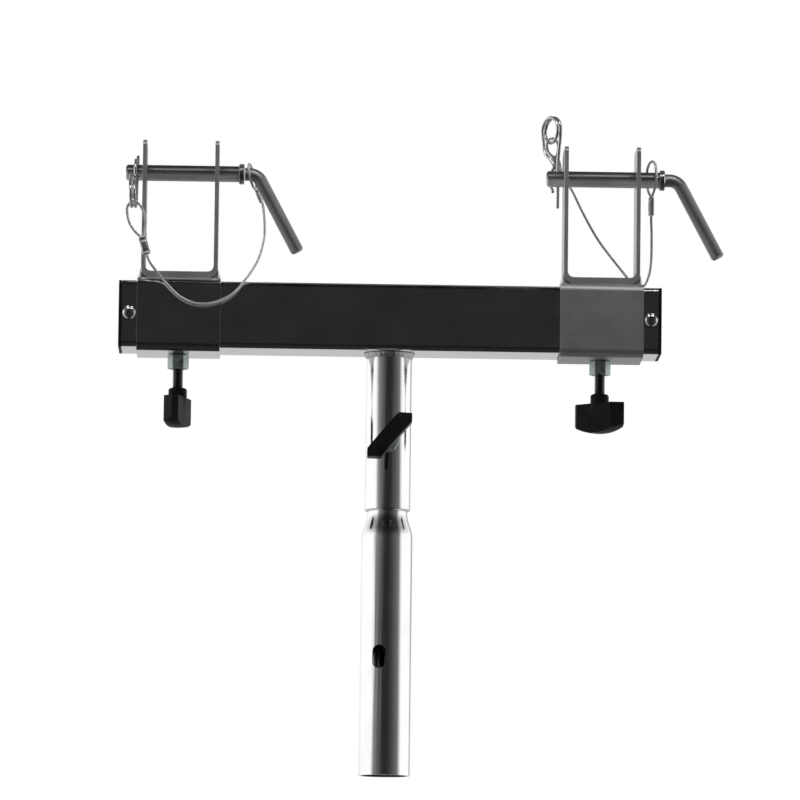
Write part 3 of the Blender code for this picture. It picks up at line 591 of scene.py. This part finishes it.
CLIP_WIRE, CLIP_TAIL, CLIP_COIL_HEIGHT, CLIP_COIL_SIDE = 0.0025, 0.0224, 0.0375, 0.006
CLIP_COIL_RADIUS, CLIP_TURN_PITCH, CLIP_COIL_TURNS = 0.0095, 0.0029, 1.5
CLIP_NECK_HEIGHT, CLIP_BULGE, CLIP_X = 0.0125, 0.0094, -0.0328
CLIP_SIDES, CLIP_END_ROUND = 16, 0.0009
CLIP_RISE_POINTS, CLIP_TURN_POINTS, CLIP_LEG_POINTS = 8, 40, 80
CLIP_LEAN = math.radians(48)             # of the left clip, from straight down
CLIP_TURN = math.radians(30)             # of the right clip, about its straight leg
CLIP_AXES = {
    "left": (Vector((0.0, -math.sin(CLIP_LEAN), -math.cos(CLIP_LEAN))),
             Vector((0.0, -math.cos(CLIP_LEAN), math.sin(CLIP_LEAN)))),
    "right": (Vector((0.0, 0.0, 1.0)), Vector((-math.sin(CLIP_TURN), math.cos(CLIP_TURN), 0.0))),
}


def clip_path():
    """The clip's wire: the straight leg, the coil, and the sprung leg round the pin."""
    coil_y, coil_z, radius = CLIP_COIL_SIDE, CLIP_COIL_HEIGHT, CLIP_COIL_RADIUS
    start_y = coil_y - radius
    points = [Vector((0.0, 0.0, -CLIP_TAIL)), Vector((0.0, 0.0, -CLIP_TAIL * 0.97)),
              Vector((0.0, 0.0, -CLIP_TAIL * 0.94)), Vector((0.0, 0.0, 0.0)),
              Vector((0.0, 0.0, CLIP_NECK_HEIGHT))]
    for number in range(1, CLIP_RISE_POINTS):
        share = number / CLIP_RISE_POINTS
        eased = share * share * (3 - 2 * share)
        points.append(Vector((0.0, start_y * eased,
                              CLIP_NECK_HEIGHT + (coil_z - CLIP_NECK_HEIGHT) * share)))
    steps = round(CLIP_COIL_TURNS * CLIP_TURN_POINTS)
    for step in range(steps + 1):
        angle = math.pi - 2 * math.pi * CLIP_COIL_TURNS * step / steps
        points.append(Vector((-CLIP_TURN_PITCH * CLIP_COIL_TURNS * step / steps,
                              coil_y + radius * math.cos(angle), coil_z + radius * math.sin(angle))))
    side = -CLIP_TURN_PITCH * CLIP_COIL_TURNS
    low_side = -CLIP_WIRE / 2
    neck_y = CLIP_WIRE * 1.4
    knots = [points[-1], Vector((side, coil_y + radius * 0.82, coil_z - radius * 0.9)),
             Vector((side, coil_y + radius * 0.58, coil_z - radius * 1.74)),
             Vector(((side + low_side) / 2, neck_y + radius * 0.3, CLIP_NECK_HEIGHT + radius * 0.3)),
             Vector((low_side, neck_y, CLIP_NECK_HEIGHT - CLIP_WIRE))]
    for degrees in (50, 25, 0, -25, -50):
        angle = math.radians(degrees)
        knots.append(Vector((low_side, CLIP_BULGE * math.cos(angle), CLIP_BULGE * math.sin(angle))))
    knots.append(Vector((low_side, neck_y + CLIP_WIRE * 0.4, -CLIP_BULGE - CLIP_WIRE * 0.3)))
    return points[:-1] + smooth_line(knots, CLIP_LEG_POINTS)


for side, (up, across) in CLIP_AXES.items():
    third = across.cross(up)
    place = Matrix.Translation(SIDES[side] + Vector((CLIP_X, 0.0, 0.0)))
    place = place @ Matrix((third, across, up)).transposed().to_4x4()
    points = [place @ point for point in clip_path()]
    rings = tube_rings(points, CLIP_WIRE / 2, CLIP_SIDES, CLIP_END_ROUND)
    mesh_piece(side + "_spring_clip", rings, "spring", side + "_clip",
               side + "_pin_clip")

# Wing screws' threads

PITCH, THREAD_DEPTH, SHANK = 0.00125, 0.00062, 0.004
THREAD_ROWS, THREAD_SIDES = 8, 32        # rows along one turn, points round it
FLANK_SLOPE = 1.25                       # over 1 leaves a flat crest and root


def threaded_rings(low, high):
    """A right-hand thread about Z, from low to high, run out at both ends."""
    rings = []
    rows = round((high - low) / PITCH * THREAD_ROWS)
    for row in range(rows + 1):
        height = low + (high - low) * row / rows
        ring = []
        for i in range(THREAD_SIDES):
            turn = i / THREAD_SIDES
            wave = abs(((height / PITCH - turn) % 1.0) * 2 - 1)
            flank = min(max(wave * FLANK_SLOPE - (FLANK_SLOPE - 1) / 2, 0.0), 1.0)
            radius = SHANK - THREAD_DEPTH * (1 - flank)
            end = min(high - height, height - low)
            radius -= max(0.0, THREAD_DEPTH - end) if end < THREAD_DEPTH else 0.0
            ring.append(Vector((radius * math.cos(2 * math.pi * turn),
                                radius * math.sin(2 * math.pi * turn), height)))
        rings.append(ring)
    return rings


for place in CLAMPS:
    low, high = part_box(place + "_clamp_screw")
    centre = (low + high) / 2
    if place == "stem":
        length = high.y - low.y
        stand = Matrix.Translation((centre.x, high.y, centre.z))
        stand = stand @ Matrix.Rotation(math.radians(-90), 4, "X")
    else:
        length = high.z - low.z
        stand = Matrix.Translation((centre.x, centre.y, high.z))
    rings = [[stand @ point for point in ring] for ring in threaded_rings(-length, 0.0)]
    mesh_piece(place + "_threaded_screw", rings, "thread", place + "_knob",
               place + "_clamp_screw")

# Weld beads with ripples

STEM_RADIUS = 0.017
STEM_BEAD_STEPS, STEM_RIPPLES, STEM_RIPPLE_SHARE = 144, 30, 0.10
CRADLE_BEND, CRADLE_HALF_WIDTH = 0.0075, 0.0285          # outer sizes of the bent strap
BEND_STEPS, BEND_COVERED = 8, 62                         # degrees of the bend that a bead covers
CRADLE_BEAD_ROWS, CRADLE_RIPPLES, CRADLE_RIPPLE_SIZE = 46, 11, 0.00045


def ripple(seed, place, count, size):
    """A bead's scalloped height at this share of its length."""
    wave = abs(math.sin(math.pi * place * count))
    return size * (wave - 0.5) + size * 0.8 * noise.noise(Vector((seed, place * count * 0.7, 0.3)))


def stem_bead():
    """A rippled ring in the corner between the stem and the bar."""
    low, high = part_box("stem_weld")
    outer = (high.x - low.x) / 2
    inner = STEM_RADIUS + SEAT
    leg = outer - inner
    top = high.z
    rings = []
    for i in range(STEM_BEAD_STEPS):
        angle = 2 * math.pi * i / STEM_BEAD_STEPS
        swell = ripple(1.0, i / STEM_BEAD_STEPS, STEM_RIPPLES, leg * STEM_RIPPLE_SHARE)
        ring = []
        for out, down in ((0.0, 0.0), (leg * 0.64, 0.0), (leg * 0.52 + swell, 0.14 * leg),
                          (leg * 0.38 + swell, 0.34 * leg), (leg * 0.25 + swell, 0.6 * leg),
                          (leg * 0.12 + swell * 0.5, 0.9 * leg), (0.0, 1.22 * leg)):
            radius = inner + out
            ring.append(Vector((radius * math.cos(angle), radius * math.sin(angle), top - down)))
        rings.append(ring)
    mesh_piece("stem_weld_bead", rings, "weld", "head", "stem_weld", loop=True)


stem_bead()


def cradle_bead(side, end):
    """A rippled fillet beside the strap's bend, in the frame's own corner."""
    node = side + "_cradle_weld_" + end
    low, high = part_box(node)
    sign = 1 if end == "right" else -1
    centre_x = SIDES[side].x
    bend, half = CRADLE_BEND, CRADLE_HALF_WIDTH
    reach = max(abs(low.x - centre_x), abs(high.x - centre_x)) - half
    hollow = []
    for step in range(BEND_STEPS + 1):
        angle = math.radians(-BEND_COVERED + BEND_COVERED * step / BEND_STEPS)
        hollow.append((half - bend + (bend + SEAT) * math.cos(angle),
                       bend + (bend + SEAT) * math.sin(angle)))
    rings = []
    for row in range(CRADLE_BEAD_ROWS + 1):
        place = row / CRADLE_BEAD_ROWS
        y = low.y + (high.y - low.y) * place
        taper = min(1.0, min(place, 1 - place) * 12 + 0.35)
        swell = ripple(3.0 + len(node) + sign, place, CRADLE_RIPPLES, CRADLE_RIPPLE_SIZE) * taper
        outline = [(hollow[0][0], 0.0), (half + reach * 0.96 * taper + swell * 0.5, 0.0),
                   (half + reach * 0.95 * taper + swell, 0.0010 * taper + 0.0002),
                   (half + reach * 0.62 * taper + swell, 0.0034),
                   (half + SEAT + reach * 0.25 * taper + swell * 0.6, 0.0058)]
        outline += reversed(hollow[1:])
        rings.append([Vector((centre_x + sign * x, y, low.z + max(z, 0.0))) for x, z in outline])
    mesh_piece(side + "_cradle_bead_" + end, rings, "weld", side + "_carriage", node)


for side in SIDES:
    for end in ("left", "right"):
        cradle_bead(side, end)

# Studio

WHITE = (1.0, 1.0, 1.0, 1.0)
FLOOR_SIZE = 12.0
FLOOR_HEIGHT = -2.0      # well below the object, so low views aren't blocked
FLOOR_GREY = 0.86
FLOOR_GLOW = 0.8         # share of plain white in what the camera sees of it


def make_floor():
    shape = bmesh.new()
    bmesh.ops.create_grid(shape, x_segments=1, y_segments=1, size=FLOOR_SIZE)
    mesh = bpy.data.meshes.new("floor")
    shape.to_mesh(mesh)
    shape.free()
    floor = bpy.data.objects.new("floor", mesh)
    floor.location = (0.0, 0.0, FLOOR_HEIGHT)
    bpy.context.scene.collection.objects.link(floor)
    material = bpy.data.materials.new("pale_floor")
    material.use_nodes = True
    tree = material.node_tree
    tree.nodes.clear()
    rays = tree.nodes.new("ShaderNodeLightPath").outputs
    diffuse = tree.nodes.new("ShaderNodeBsdfDiffuse")
    diffuse.inputs["Color"].default_value = (FLOOR_GREY, FLOOR_GREY, FLOOR_GREY, 1.0)
    glow = tree.nodes.new("ShaderNodeEmission")
    glow.inputs["Color"].default_value = WHITE
    seen = math_node(tree, "MAXIMUM", rays["Is Camera Ray"], rays["Is Glossy Ray"])
    seen = math_node(tree, "MAXIMUM", seen, rays["Is Transmission Ray"])
    mix = tree.nodes.new("ShaderNodeMixShader")
    out = tree.nodes.new("ShaderNodeOutputMaterial")
    tree.links.new(math_node(tree, "MULTIPLY", seen, FLOOR_GLOW), mix.inputs["Fac"])
    tree.links.new(diffuse.outputs[0], mix.inputs[1])
    tree.links.new(glow.outputs[0], mix.inputs[2])
    tree.links.new(mix.outputs[0], out.inputs["Surface"])
    mesh.materials.append(material)
    floor.visible_glossy = False         # metal sees the world's own floor instead


# The light that metal sees in each direction, as shares of white
SIDE_LEVEL = 1.15
BACK_LEVEL = 0.22
CEILING_LEVEL = 0.12
FLOOR_LEVEL = 0.56
STRIP_LEVEL = 0.022      # under the object
AMBIENT = 0.6            # for dull surfaces

# Where one gives way to the next, as parts of a direction of length 1: heights for the ceiling, the
# floor and the strip's depth, and places across for the middles and the strip's side. The back's
# edge is how far ahead, from 1 on the camera's side of the object to -1 behind it
CEILING_EDGE = 0.2, 0.7
FLOOR_EDGE = 0.05, -0.08
STRIP_DEPTH = -0.45, -0.85
STRIP_SIDE = 0.4, 0.15
MIDDLE = -0.1, 0.1
BACK_MIDDLE = -0.2, 0.2
BACK_EDGE = -0.68, -0.86
BACK_SHARES = 0.2, 0.7   # how far the back dims, left and right

# The sides' fall towards the dark front: how far ahead it starts and ends, and the slope of what
# is left
LEFT_FADE = 0.34, 0.66, 0.6
RIGHT_FADE = 0.22, 0.58, 0.33
FRONT_SHARE = 0.018      # share of the sides' level straight ahead
LEAST_SPAN = 0.0001      # keeps the division whole straight up and down


def make_world():
    """White for the camera. Metal sees bright sides, a dimmer back, a dark front and ceiling, and
    a pale floor with a dark strip under the object."""
    world = bpy.data.worlds.new("studio")
    bpy.context.scene.world = world
    world.use_nodes = True
    tree = world.node_tree
    tree.nodes.clear()
    split = tree.nodes.new("ShaderNodeSeparateXYZ")
    tree.links.new(tree.nodes.new("ShaderNodeTexCoord").outputs["Generated"], split.inputs[0])
    x, y, z = split.outputs

    def maths(kind, first, second=0.0):
        return math_node(tree, kind, first, second)

    def step(value, low, high):
        node = tree.nodes.new("ShaderNodeMapRange")
        node.interpolation_type = "SMOOTHSTEP"
        tree.links.new(value, node.inputs["Value"])
        node.inputs["From Min"].default_value = low
        node.inputs["From Max"].default_value = high
        return node.outputs["Result"]

    def mixed(share, first, second):
        rest = maths("SUBTRACT", 1.0, share)
        return maths("ADD", maths("MULTIPLY", rest, first), maths("MULTIPLY", share, second))

    squares = maths("ADD", maths("MULTIPLY", x, x), maths("MULTIPLY", y, y))
    span = maths("SQRT", maths("ADD", squares, LEAST_SPAN))
    ahead = maths("DIVIDE", maths("MULTIPLY", y, -1.0), span)

    def faded(start, end, slope):
        tail = maths("MULTIPLY", maths("SUBTRACT", 1.0, ahead), slope)
        return mixed(step(ahead, start, end), 1.0, maths("ADD", tail, FRONT_SHARE))

    back = maths("MULTIPLY", step(ahead, *BACK_EDGE), mixed(step(x, *BACK_MIDDLE), *BACK_SHARES))
    around = mixed(back, SIDE_LEVEL, BACK_LEVEL)
    around = mixed(step(z, *CEILING_EDGE), around, CEILING_LEVEL)
    around = mixed(step(z, *FLOOR_EDGE), around, FLOOR_LEVEL)
    shade = mixed(step(x, *MIDDLE), faded(*LEFT_FADE), faded(*RIGHT_FADE))
    strip = maths("MULTIPLY", step(z, *STRIP_DEPTH), step(maths("ABSOLUTE", x), *STRIP_SIDE))
    mirrored = mixed(strip, maths("MULTIPLY", around, shade), STRIP_LEVEL)
    rays = tree.nodes.new("ShaderNodeLightPath").outputs
    shiny = maths("MAXIMUM", rays["Is Glossy Ray"], rays["Is Transmission Ray"])
    strength = mixed(shiny, AMBIENT, mirrored)
    strength = mixed(rays["Is Camera Ray"], strength, 1.0)
    background = tree.nodes.new("ShaderNodeBackground")
    background.inputs["Color"].default_value = WHITE
    tree.links.new(strength, background.inputs["Strength"])
    out = tree.nodes.new("ShaderNodeOutputWorld")
    tree.links.new(background.outputs[0], out.inputs["Surface"])


LAMP_AIM = Vector((0.0, 0.0, 0.3))


def make_lamp(name, place, size, power, mirrored):
    """A square lamp aimed at the object, which metal may mirror or not."""
    data = bpy.data.lights.new(name, "AREA")
    data.shape = "SQUARE"
    data.size = size
    data.energy = power
    lamp = bpy.data.objects.new(name, data)
    bpy.context.scene.collection.objects.link(lamp)
    lamp.location = place
    lamp.rotation_euler = (LAMP_AIM - Vector(place)).to_track_quat("-Z", "Y").to_euler()
    lamp.visible_glossy = mirrored


make_floor()
make_world()
make_lamp("left_softbox", (-2.2, -1.2, 1.6), size=1.6, power=16.0, mirrored=False)
make_lamp("right_softbox", (2.4, -0.8, 1.4), size=1.6, power=12.0, mirrored=False)
make_lamp("left_spot", (-0.81, -1.66, 2.66), size=0.8, power=12.0, mirrored=True)
make_lamp("right_spot", (0.81, -1.66, 2.66), size=0.8, power=12.0, mirrored=True)
bpy.context.scene.view_settings.view_transform = "Standard"
